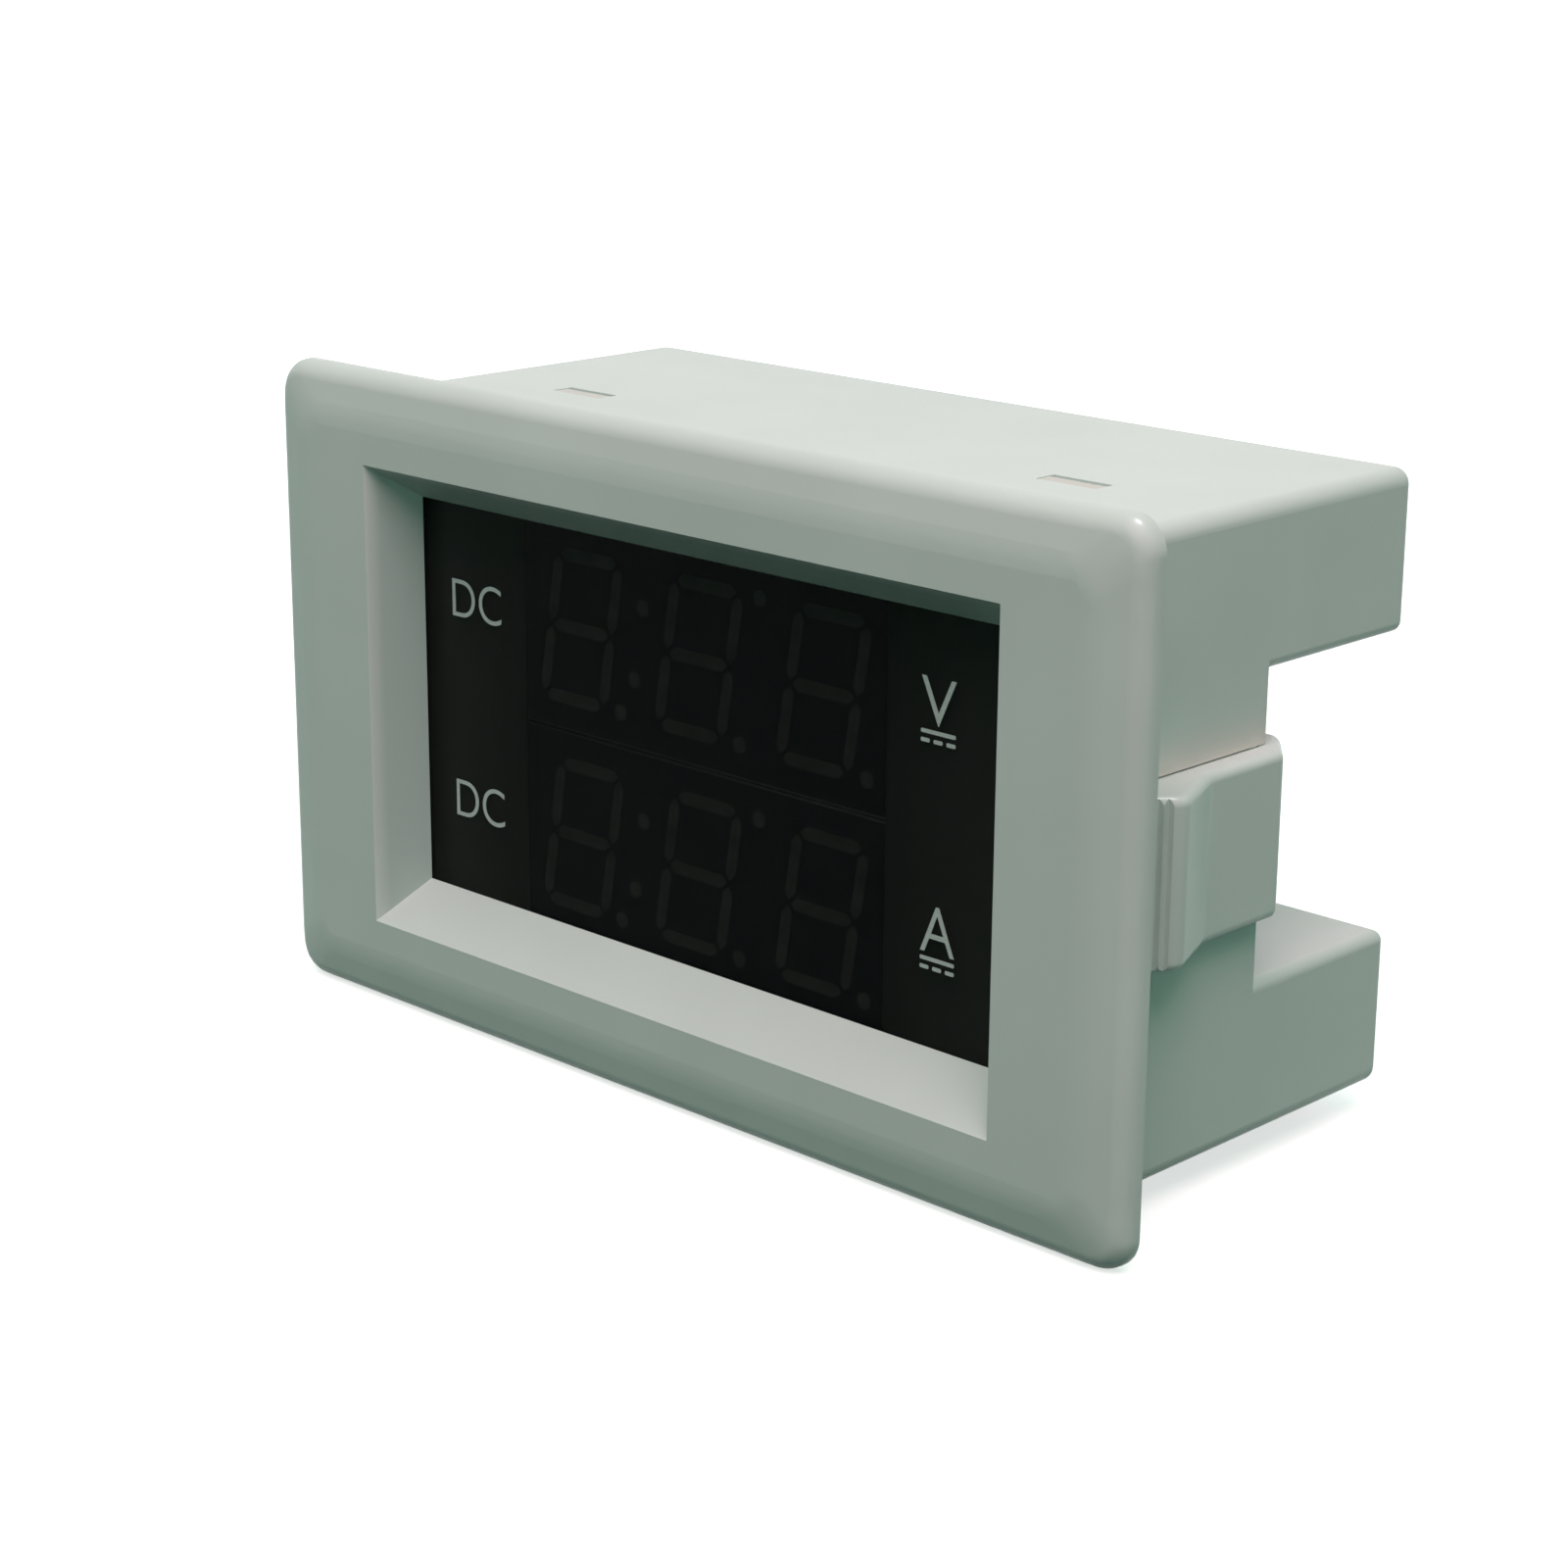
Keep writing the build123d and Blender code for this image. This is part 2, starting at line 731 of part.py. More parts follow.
def main():
    os.makedirs("parts", exist_ok=True)
    save("front_bezel", front_bezel())
    save("housing", housing())
    save("right_clip", right_clip())
    save("left_clip", mirror(right_clip(), Plane.YZ))
    save("filter_window", filter_window())
    save("mask_film", mask_film())
    for name, z in module_zs.items():
        save(f"led_module_{name}", led_module(z))
        save(f"segments_{name}", *segments(z))
    save("module_pins", *module_pins())
    save("display_board", display_board())
    save("main_board", main_board())
    save("header_body", header_body())
    save("header_pins", *header_pins())
    save("board_spacers", *board_spacers())
    save("board_screws", *board_screws())
    drivers = [chip(driver_w, driver_h, display_rear_y, 1, 0, side * driver_z) for side in (-1, 1)]
    save("segment_drivers", *drivers)
    driver_wings = []
    for side in (-1, 1):
        driver_wings += chip_legs(driver_legs, driver_h, display_rear_y, 1, 0, side * driver_z)
    save("driver_legs", *driver_wings)
    save("chip_resistors", *chip_resistors())
    save("microcontroller", chip(controller_w, controller_h, main_front_y, -1, controller_x, controller_z))
    save("microcontroller_legs",
         *chip_legs(controller_legs, controller_h, main_front_y, -1, controller_x, controller_z))
    save("amplifier", chip(amplifier_w, amplifier_h, main_front_y, -1, amplifier_x, 0))
    save("amplifier_legs",
         *chip_legs(amplifier_legs, amplifier_h, main_front_y, -1, amplifier_x, 0))
    save("capacitors", *capacitors())
    save("inductor_core", inductor())
    save("inductor_winding", inductor_winding())
    save("rectifier_diode", diode())
    save("regulator_body", regulator_body())
    save("regulator_tab", *regulator_tab())
    save("crystal", crystal())
    save("divider_resistors", *divider_resistors())
    save("terminal_block", terminal_block())
    save("terminal_contacts", *[contact(x) for x in way_xs])
    for i, x in enumerate(way_xs):
        save(f"clamp_plate_{i + 1}", clamp_plate(x))
        save(f"terminal_screw_{i + 1}", terminal_screw(x))


main()
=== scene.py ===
import math

import bmesh
import bpy
from mathutils import Matrix, Vector


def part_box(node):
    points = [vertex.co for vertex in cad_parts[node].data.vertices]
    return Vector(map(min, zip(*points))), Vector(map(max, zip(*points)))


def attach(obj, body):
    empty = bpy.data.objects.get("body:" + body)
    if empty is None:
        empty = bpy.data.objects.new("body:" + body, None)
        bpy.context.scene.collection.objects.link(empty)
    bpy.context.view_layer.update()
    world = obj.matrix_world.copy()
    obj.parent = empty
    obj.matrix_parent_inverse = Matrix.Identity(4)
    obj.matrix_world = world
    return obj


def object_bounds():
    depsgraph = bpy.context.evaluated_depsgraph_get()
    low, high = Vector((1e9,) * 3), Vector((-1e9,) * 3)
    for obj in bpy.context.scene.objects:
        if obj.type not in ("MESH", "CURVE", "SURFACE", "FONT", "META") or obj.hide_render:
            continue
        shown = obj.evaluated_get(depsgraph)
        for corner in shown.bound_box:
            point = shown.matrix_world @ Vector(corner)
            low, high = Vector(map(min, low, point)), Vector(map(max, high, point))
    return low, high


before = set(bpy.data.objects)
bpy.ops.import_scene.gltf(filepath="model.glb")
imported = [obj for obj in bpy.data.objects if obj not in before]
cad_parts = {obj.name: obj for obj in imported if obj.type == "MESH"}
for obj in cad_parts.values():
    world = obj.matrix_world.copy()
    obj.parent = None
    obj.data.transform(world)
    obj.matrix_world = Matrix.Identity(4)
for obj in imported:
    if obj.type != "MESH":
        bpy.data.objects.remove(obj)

bl_info = {
    "name": "Digital Panel Meter",
    "version": (1, 0, 0),
    "blender": (4, 5, 0),
    "location": "View3D > Sidebar > Meter",
    "description": "Finishes, printed legends and studio for a two-row digital panel meter",
    "category": "Object",
}

CAD_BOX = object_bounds()
MM = 0.001

# Places on the mouldings and on the display, in millimetres: a middle and half a width
MIDDLE_Z = 25.0
CASE_SIDE_X = (37.2, 0.1)
# Height of the painted bounce light above each clip
CLIP_BOUNCE_Z = (32.5, 1.55)
TOOTH_X = (24.2, 2.5)
TOOTH_Y = (-2.45, 0.9)
TOOTH_Z = (47.57, 0.02)
RECESS_X = (0.0, 31.6)
RECESS_Y = (-16.45, 2.0)
RECESS_Z = (MIDDLE_Z, 18.2)
SEAM_HALF = 0.22
MASK_START_X = 18.2
MASK_END_X = 27.0

# Distances from the origin, in metres, between which the floor's glow grows
GLOW_START = 0.15
GLOW_END = 0.5

# Nodes of the frame, grouped by what they are made of
MOULDINGS = ("front_bezel", "housing", "right_clip", "left_clip")
MODULES = ("led_module_upper", "led_module_lower")
SEGMENTS = ("segments_upper", "segments_lower")
BOARDS = ("display_board", "main_board")
TINNED = ("module_pins", "header_pins", "driver_legs", "microcontroller_legs", "amplifier_legs",
          "regulator_tab", "crystal")
EPOXY = ("header_body", "segment_drivers", "chip_resistors", "microcontroller", "amplifier",
         "rectifier_diode", "regulator_body")


def linear(hex_colour):
    """An sRGB hex value as linear red, green and blue."""
    values = [int(hex_colour[i:i + 2], 16) / 255 for i in (1, 3, 5)]
    return tuple(v / 12.92 if v <= 0.04045 else ((v + 0.055) / 1.055) ** 2.4 for v in values)


def opaque(colour):
    """A colour with full alpha, as a colour socket takes it."""
    return (*colour, 1.0)


# Sizes and colours that a user would change
class MeterFinish(bpy.types.PropertyGroup):
    """Colours and edge sizes of the meter."""

    plastic: bpy.props.FloatVectorProperty(
        name="Plastic", description="White of the moulded frame, housing and clips",
        subtype="COLOR", size=3, min=0, max=1, default=linear("#DDE2DF"))
    mottle: bpy.props.FloatVectorProperty(
        name="Plastic mottle", description="Slightly greyer patches in the white",
        subtype="COLOR", size=3, min=0, max=1, default=linear("#D9DEDB"))
    pane: bpy.props.FloatVectorProperty(
        name="Pane", description="Smoked colour of the window",
        subtype="COLOR", size=3, min=0, max=1, default=linear("#05080A"))
    pane_cover: bpy.props.FloatProperty(
        name="Pane cover", description="Share of light that the smoked window holds back",
        subtype="FACTOR", min=0, max=1, default=0.55)
    mask: bpy.props.FloatVectorProperty(
        name="Mask", description="Print that hides what lies beside the display",
        subtype="COLOR", size=3, min=0, max=1, default=linear("#7C8077"))
    segment: bpy.props.FloatVectorProperty(
        name="Segment", description="Milky resin of an unlit segment",
        subtype="COLOR", size=3, min=0, max=1, default=linear("#8A8A82"))
    legend: bpy.props.FloatVectorProperty(
        name="Legend", description="Ink of the printed marks",
        subtype="COLOR", size=3, min=0, max=1, default=linear("#C3CAC6"))
    moulded_edge: bpy.props.FloatProperty(
        name="Moulded edge", description="Radius that a mould leaves on an outer edge",
        subtype="DISTANCE", unit="LENGTH", min=0, max=0.001, default=0.2 * MM)
    seam_edge: bpy.props.FloatProperty(
        name="Seam edge", description="Radius on the housing's edges, small beside the latch teeth",
        subtype="DISTANCE", unit="LENGTH", min=0, max=0.001, default=0.12 * MM)
    clip_edge: bpy.props.FloatProperty(
        name="Clip edge", description="Radius on the edges of the side clips",
        subtype="DISTANCE", unit="LENGTH", min=0, max=0.001, default=0.3 * MM)
    metal_edge: bpy.props.FloatProperty(
        name="Metal edge", description="Radius on the edges of terminal parts",
        subtype="DISTANCE", unit="LENGTH", min=0, max=0.001, default=0.12 * MM)


class MeterLegends(bpy.types.PropertyGroup):
    """Places and sizes of the printed marks, about the centre of the window."""

    ink: bpy.props.FloatProperty(
        name="Ink", description="Thickness of the ink on the window",
        subtype="DISTANCE", unit="LENGTH", min=0, max=0.001, default=0.03 * MM)
    letter_h: bpy.props.FloatProperty(
        name="Letter height", description="Height of the letters D and C",
        subtype="DISTANCE", unit="LENGTH", min=0, max=0.01, default=2.95 * MM)
    pair_w: bpy.props.FloatProperty(
        name="Pair width", description="Width of the letters D and C together",
        subtype="DISTANCE", unit="LENGTH", min=0, max=0.01, default=5.55 * MM)
    pair_x: bpy.props.FloatProperty(
        name="Pair place", description="Middle of the two letters, left of the display",
        subtype="DISTANCE", unit="LENGTH", default=-23.13 * MM)
    pair_up: bpy.props.FloatProperty(
        name="Upper pair", description="Middle height of the upper letters",
        subtype="DISTANCE", unit="LENGTH", default=8.3 * MM)
    pair_down: bpy.props.FloatProperty(
        name="Lower pair", description="Middle height of the lower letters",
        subtype="DISTANCE", unit="LENGTH", default=-7.5 * MM)
    unit_w: bpy.props.FloatProperty(
        name="Unit width", description="Width of the letters V and A and of the signs under them",
        subtype="DISTANCE", unit="LENGTH", min=0, max=0.01, default=3.05 * MM)
    unit_h: bpy.props.FloatProperty(
        name="Unit height", description="Height of the letters V and A",
        subtype="DISTANCE", unit="LENGTH", min=0, max=0.01, default=3.3 * MM)
    upper_x: bpy.props.FloatProperty(
        name="Upper unit place", description="Middle of the letter V, right of the display",
        subtype="DISTANCE", unit="LENGTH", default=23.25 * MM)
    lower_x: bpy.props.FloatProperty(
        name="Lower unit place", description="Middle of the letter A, right of the display",
        subtype="DISTANCE", unit="LENGTH", default=23.53 * MM)
    weight: bpy.props.FloatProperty(
        name="Weight", description="Growth of the letters' strokes, in parts of the font's size",
        min=-0.05, max=0.05, default=-0.008)
    unit_up: bpy.props.FloatProperty(
        name="Upper unit", description="Height of the solid line under the letter V",
        subtype="DISTANCE", unit="LENGTH", default=7.27 * MM)
    unit_down: bpy.props.FloatProperty(
        name="Lower unit", description="Height of the solid line under the letter A",
        subtype="DISTANCE", unit="LENGTH", default=-8.56 * MM)
    line_t: bpy.props.FloatProperty(
        name="Line", description="Thickness of the direct-current sign's lines",
        subtype="DISTANCE", unit="LENGTH", min=0, max=0.001, default=0.28 * MM)
    line_step: bpy.props.FloatProperty(
        name="Line step", description="Step from the letter to the solid line and to the dashes",
        subtype="DISTANCE", unit="LENGTH", min=0, max=0.002, default=0.62 * MM)
    dash_gap: bpy.props.FloatProperty(
        name="Dash gap", description="Gap between two dashes",
        subtype="DISTANCE", unit="LENGTH", min=0, max=0.002, default=0.35 * MM)


class MeterStudio(bpy.types.PropertyGroup):
    """Floor, light and camera."""

    camera_place: bpy.props.FloatVectorProperty(
        name="Camera place", description="Where the camera stands",
        subtype="TRANSLATION", unit="LENGTH", size=3, default=(0.16185, -0.17282, 0.09084))
    camera_turn: bpy.props.FloatVectorProperty(
        name="Camera turn", description="How the camera is turned, as Euler angles",
        subtype="EULER", unit="ROTATION", size=3,
        default=(math.radians(73.531), math.radians(-0.383), math.radians(44.110)))
    lens: bpy.props.FloatProperty(
        name="Lens", description="Focal length in millimetres for a sensor 36 mm wide",
        min=10, max=300, default=75.9)
    floor_w: bpy.props.FloatProperty(
        name="Floor", description="Width of the floor",
        subtype="DISTANCE", unit="LENGTH", min=1, max=20, default=8.0)
    floor_lift: bpy.props.FloatProperty(
        name="Floor lift", description="Glow that turns the seen floor white",
        min=0, max=1, default=0.93)
    shadow_lift: bpy.props.FloatProperty(
        name="Shadow lift",
        description="Glow of the floor round the meter, low enough to keep its shadow",
        min=0, max=1, default=0.66)
    floor_bounce: bpy.props.FloatVectorProperty(
        name="Floor bounce", description="Colour of the table cloth that the underside sees",
        subtype="COLOR", size=3, min=0, max=1, default=(0.0, 0.012, 0.008))
    sky: bpy.props.FloatVectorProperty(
        name="Room light", description="Even light of the room",
        subtype="COLOR", size=3, min=0, max=1, default=(0.175, 0.405, 0.30))
    key_power: bpy.props.FloatProperty(
        name="Key light", description="Power of the soft light above the front right, in watts",
        min=0, max=200, default=2.84)
    key_colour: bpy.props.FloatVectorProperty(
        name="Key colour", description="Colour of the light above the front right",
        subtype="COLOR", size=3, min=0, max=1, default=(1.0, 0.71, 0.79))
    key_place: bpy.props.FloatVectorProperty(
        name="Key place", description="Where the light above the front right stands",
        subtype="TRANSLATION", unit="LENGTH", size=3, default=(0.198, -0.224, 0.545))
    back_power: bpy.props.FloatProperty(
        name="Back light", description="Power of the soft light behind the left side, in watts",
        min=0, max=200, default=1.6)
    back_colour: bpy.props.FloatVectorProperty(
        name="Back colour", description="Colour of the light behind the left side",
        subtype="COLOR", size=3, min=0, max=1, default=(1.0, 0.62, 0.8))
    back_place: bpy.props.FloatVectorProperty(
        name="Back place", description="Where the light behind the left side stands",
        subtype="TRANSLATION", unit="LENGTH", size=3, default=(-0.359, 0.466, 0.145))
    light_size: bpy.props.FloatProperty(
        name="Light size", description="Width of each soft light",
        subtype="DISTANCE", unit="LENGTH", min=0.01, max=5, default=0.5)
    glint_power: bpy.props.FloatProperty(
        name="Glint",
        description="Power of the small lamp overhead that is seen in glosses only, in watts",
        min=0, max=200, default=14.0)
    glint_place: bpy.props.FloatVectorProperty(
        name="Glint place", description="Where the small lamp stands",
        subtype="TRANSLATION", unit="LENGTH", size=3, default=(0.06, 0.06, 0.9))
    glint_size: bpy.props.FloatProperty(
        name="Glint size", description="Width of the small lamp",
        subtype="DISTANCE", unit="LENGTH", min=0.01, max=5, default=0.12)


# Materials
def node(tree, kind, inputs=None, **settings):
    """Add a node with its settings; an input takes a value or another node's output."""
    made = tree.nodes.new(kind)
    for key, value in settings.items():
        setattr(made, key, value)
    for key, value in (inputs or {}).items():
        if isinstance(value, bpy.types.NodeSocket):
            tree.links.new(value, made.inputs[key])
        else:
            made.inputs[key].default_value = value
    return made


def new_material(name):
    """An empty material with its output, ready for a shader."""
    material = bpy.data.materials.new(name)
    material.use_nodes = True
    tree = material.node_tree
    tree.nodes.clear()
    output = node(tree, "ShaderNodeOutputMaterial")
    return material, tree, output


def surface(tree, output, **inputs):
    """A principled shader on the output; names use an underscore for each space."""
    values = {key.replace("_", " "): value for key, value in inputs.items()}
    shader = node(tree, "ShaderNodeBsdfPrincipled", values)
    tree.links.new(shader.outputs[0], output.inputs["Surface"])
    return shader


def place(tree):
    """The point that is shaded, in the CAD frame and in metres."""
    return node(tree, "ShaderNodeTexCoord").outputs["Object"]


def noise(tree, size, detail=2.0, roughness=0.5):
    """Noise whose patches are about size across, in metres."""
    made = node(tree, "ShaderNodeTexNoise", {
        "Vector": place(tree), "Scale": 1 / size, "Detail": detail, "Roughness": roughness})
    return made.outputs["Fac"]


def spread(tree, value, low, high, start=0.35, end=0.65):
    """Noise from start to end as a number from low to high."""
    return node(tree, "ShaderNodeMapRange", {
        "Value": value, "From Min": start, "From Max": end, "To Min": low, "To Max": high,
    }).outputs["Result"]


def blend_colours(tree, factor, first, second):
    """first where factor is 0 and second where it is 1."""
    made = node(tree, "ShaderNodeMix", {"Factor": factor}, data_type="RGBA")
    for socket, colour in ((made.inputs[6], first), (made.inputs[7], second)):
        if isinstance(colour, bpy.types.NodeSocket):
            tree.links.new(colour, socket)
        else:
            socket.default_value = opaque(colour)
    return made.outputs[2]


def bump(tree, height, distance):
    """A normal tilted by a relief of the given depth, in metres."""
    return node(tree, "ShaderNodeBump", {"Height": height, "Distance": distance}).outputs["Normal"]


def along(tree, axis):
    """The place along one axis, in metres; the axis may also be "side", the distance from X = 0."""
    outputs = node(tree, "ShaderNodeSeparateXYZ", {0: place(tree)}).outputs
    if axis != "side":
        return outputs[axis]
    return node(tree, "ShaderNodeMath", {0: outputs["X"]}, operation="ABSOLUTE").outputs[0]


def near(tree, axis, span):
    """1 where the place along an axis lies in a span of millimetres, else 0."""
    middle, half = span
    values = {0: along(tree, axis), 1: middle * MM, 2: half * MM}
    return node(tree, "ShaderNodeMath", values, operation="COMPARE").outputs[0]


def fade(tree, axis, low, high, start, end):
    """A number from low to high between two places along an axis, in millimetres."""
    return spread(tree, along(tree, axis), low, high, start=start * MM, end=end * MM)


def product(tree, *values):
    """Several numbers multiplied together."""
    total = values[0]
    for value in values[1:]:
        total = node(tree, "ShaderNodeMath", {0: total, 1: value}, operation="MULTIPLY").outputs[0]
    return total


def specks(tree, spacing, radius, share):
    """1 inside small dots, one to a cell of the given spacing, in a share of the cells."""
    cells = node(tree, "ShaderNodeTexVoronoi", {"Vector": place(tree), "Scale": 1 / spacing})
    inside = node(tree, "ShaderNodeMath", {0: cells.outputs["Distance"], 1: radius / spacing},
                  operation="LESS_THAN")
    red = node(tree, "ShaderNodeSeparateColor", {0: cells.outputs["Color"]}).outputs[0]
    chosen = node(tree, "ShaderNodeMath", {0: red, 1: share}, operation="LESS_THAN")
    return product(tree, inside.outputs[0], chosen.outputs[0])


def white_abs(finish):
    """White ABS, injection moulded in a fine satin tool: soft broad gloss and a faint grain."""
    material, tree, output = new_material("white_abs_moulded")
    # Flow in the mould leaves the white a little uneven over 14 mm
    flow = spread(tree, noise(tree, 14 * MM), 0, 1)
    tone = blend_colours(tree, flow, finish.plastic, finish.mottle)
    # Painted bounce light: a faint warm glow on the sides, just above each clip, where light from the
    # clip's top falls on the wall
    painted_clip_bounce = product(tree, near(tree, "side", CASE_SIDE_X), near(tree, "Z", CLIP_BOUNCE_Z),
                    fade(tree, "Z", 1.0, 0.0, start=31.0, end=34.0),
                    fade(tree, "Y", 0.0, 1.0, start=-15.5, end=-13.5))
    tone = blend_colours(tree, painted_clip_bounce, tone, linear("#E4D6D2"))
    # The latch teeth, nearly flush with the top, have yellowed a little
    tooth = product(tree, near(tree, "side", TOOTH_X), near(tree, "Y", TOOTH_Y),
                    near(tree, "Z", TOOTH_Z))
    tone = blend_colours(tree, tooth, tone, linear("#D2CDC6"))
    # Painted shade: the recess walls that face sideways or down are drawn greyer, where the walls
    # shade each other; the ledge below the window, facing up, stays white
    facing = node(tree, "ShaderNodeNewGeometry").outputs["True Normal"]
    upward = node(tree, "ShaderNodeSeparateXYZ", {0: facing}).outputs["Z"]
    painted_recess_shade = product(tree, near(tree, "side", RECESS_X), near(tree, "Z", RECESS_Z),
                   near(tree, "Y", RECESS_Y), fade(tree, "Y", 0.0, 1.0, start=-18.4, end=-17.4),
                   spread(tree, upward, 1.0, 0.0, start=0.0, end=0.5))
    tone = blend_colours(tree, painted_recess_shade, tone, linear("#BECAC5"))
    # Dust and dark grains in the resin, 0.1 mm across
    dust = specks(tree, 5 * MM, 0.11 * MM, 0.35)
    colour = blend_colours(tree, dust, tone, linear("#7E8A83"))
    # The tool's grain is about 0.05 mm; it is drawn at 0.35 mm, so that it shows
    grain = noise(tree, 0.35 * MM, detail=3)
    # A slow waviness, as where the wall shrinks over ribs, bends the reflections
    wave = noise(tree, 9 * MM, detail=1)
    relief = bump(tree, grain, 0.0015 * MM)
    shader = surface(tree, output, Base_Color=colour, IOR=1.53, Specular_IOR_Level=0.1,
                     Roughness=spread(tree, grain, 0.28, 0.34))
    sunk = node(tree, "ShaderNodeBump", {"Height": wave, "Distance": 0.02 * MM, "Normal": relief})
    tree.links.new(sunk.outputs["Normal"], shader.inputs["Normal"])
    return material


def smoked_acrylic(finish):
    """Acrylic sheet, smoked and polished: a dark pane that lets the display through dimly."""
    material, tree, output = new_material("smoked_acrylic")
    # Fine wiping marks make the polish uneven
    wiped = noise(tree, 3 * MM, detail=4)
    surface(tree, output, Base_Color=opaque(finish.pane), IOR=1.49, Specular_IOR_Level=0.03,
            Alpha=finish.pane_cover, Roughness=spread(tree, wiped, 0.05, 0.12))
    return material


def mask_print(finish):
    """Screen print on polyester film: matt brown-black ink behind the pane."""
    material, tree, output = new_material("mask_print")
    # The print is drawn darker near the display and lighter towards the ends of the film
    thin = fade(tree, "side", 0.0, 1.0, start=MASK_START_X, end=MASK_END_X)
    thick = tuple(0.35 * v for v in finish.mask)
    colour = blend_colours(tree, thin, thick, finish.mask)
    surface(tree, output, Base_Color=colour, Roughness=0.6, Specular_IOR_Level=0.05)
    return material


def module_face(seam_z):
    """Polycarbonate display body: black painted face, with bare grey resin along the seam."""
    material, tree, output = new_material("display_module_body")
    # The grey seam line is bare resin; it shows more towards the right end as painted sheen, where
    # the seam catches the light
    rightward_sheen = fade(tree, "X", 0.15, 1.0, start=-16.0, end=12.0)
    bare_seam_and_sheen = product(tree, near(tree, "Z", (seam_z / MM, SEAM_HALF)), rightward_sheen)
    # Thin and thick paint differ a little over 5 mm
    paint = blend_colours(tree, spread(tree, noise(tree, 5 * MM), 0, 1), linear("#0E1516"),
                          linear("#141C1D"))
    colour = blend_colours(tree, bare_seam_and_sheen, paint, linear("#A3A49C"))
    surface(tree, output, Base_Color=colour, Roughness=0.55, Specular_IOR_Level=0.05)
    return material


def milky_resin(finish):
    """Diffusing epoxy of an unlit segment: dull grey, a little uneven."""
    material, tree, output = new_material("segment_resin")
    cloud = noise(tree, 1.2 * MM)
    dark = tuple(0.7 * v for v in finish.segment)
    colour = blend_colours(tree, spread(tree, cloud, 0, 1), finish.segment, dark)
    surface(tree, output, Base_Color=colour, Roughness=0.5, Specular_IOR_Level=0.05)
    return material


def legend_ink(finish):
    """White screen ink: matt, with the mesh's faint unevenness."""
    material, tree, output = new_material("legend_ink")
    mesh = noise(tree, 0.25 * MM)
    thin = tuple(0.88 * v for v in finish.legend)
    colour = blend_colours(tree, spread(tree, mesh, 0, 1), finish.legend, thin)
    surface(tree, output, Base_Color=colour, Roughness=0.5)
    return material


def plated_steel():
    """Steel, pressed or turned and zinc plated: a cloudy silver with a faint yellow and blue cast."""
    material, tree, output = new_material("zinc_plated_steel")
    cast = spread(tree, noise(tree, 2.5 * MM), 0, 1)
    colour = blend_colours(tree, cast, linear("#C9CACB"), linear("#C6C2AE"))
    fine = noise(tree, 0.2 * MM, detail=4)
    shader = surface(tree, output, Base_Color=colour, Metallic=1.0,
                     Roughness=spread(tree, fine, 0.28, 0.42))
    tree.links.new(bump(tree, fine, 0.004 * MM), shader.inputs["Normal"])
    return material


def nickelled_brass():
    """Brass strip, stamped and nickel plated: warm silver with stamping lines."""
    material, tree, output = new_material("nickel_plated_brass")
    lines = noise(tree, 0.3 * MM, detail=4)
    colour = blend_colours(tree, spread(tree, lines, 0, 1), linear("#CFC7AE"), linear("#BDB294"))
    surface(tree, output, Base_Color=colour, Metallic=1.0, Roughness=spread(tree, lines, 0.25, 0.38))
    return material


def tinned_wire():
    """Copper lead, tin dipped: bright grey metal with soft ripples."""
    material, tree, output = new_material("tinned_lead")
    ripple = noise(tree, 0.5 * MM)
    shader = surface(tree, output, Base_Color=opaque(linear("#C8C9C6")), Metallic=1.0,
                     Roughness=spread(tree, ripple, 0.22, 0.35))
    tree.links.new(bump(tree, ripple, 0.01 * MM), shader.inputs["Normal"])
    return material


def black_moulding(name, hex_colour, low, high):
    """Filled black resin, compression moulded: near black with a fine dull grain."""
    material, tree, output = new_material(name)
    grain = noise(tree, 0.25 * MM, detail=4)
    base = linear(hex_colour)
    worn = tuple(1.6 * v for v in base)
    colour = blend_colours(tree, spread(tree, grain, 0, 1), base, worn)
    shader = surface(tree, output, Base_Color=colour, Roughness=spread(tree, grain, low, high))
    tree.links.new(bump(tree, grain, 0.008 * MM), shader.inputs["Normal"])
    return material


def solder_resist():
    """Glass-epoxy laminate under green solder resist: glossy green over a woven ground."""
    material, tree, output = new_material("green_solder_resist")
    weave = node(tree, "ShaderNodeTexWave", {"Vector": place(tree), "Scale": 1 / (1.2 * MM),
                                             "Distortion": 1.0}).outputs["Fac"]
    colour = blend_colours(tree, weave, linear("#0F5A34"), linear("#14683E"))
    surface(tree, output, Base_Color=colour, Roughness=0.32)
    return material


def plain_resin(name, hex_colour, roughness, patch):
    """Small moulded or lacquered part: one colour, clouded over patches of the given size."""
    material, tree, output = new_material(name)
    base = linear(hex_colour)
    shade = tuple(0.8 * v for v in base)
    colour = blend_colours(tree, spread(tree, noise(tree, patch), 0, 1), base, shade)
    surface(tree, output, Base_Color=colour, Roughness=roughness)
    return material


def enamelled_copper():
    """Enamelled copper wire, wound in layers: coppery bands a wire apart."""
    material, tree, output = new_material("enamelled_copper")
    turns = node(tree, "ShaderNodeTexWave", {"Vector": place(tree), "Scale": 1 / (2.5 * MM)},
                 bands_direction="Y").outputs["Fac"]
    colour = blend_colours(tree, turns, linear("#7A3A1C"), linear("#B4693A"))
    surface(tree, output, Base_Color=colour, Metallic=1.0, Roughness=0.3)
    return material


# Helpers for objects
def dress(names, material):
    """Give CAD nodes a material."""
    for name in names:
        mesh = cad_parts[name].data
        mesh.materials.clear()
        mesh.materials.append(material)


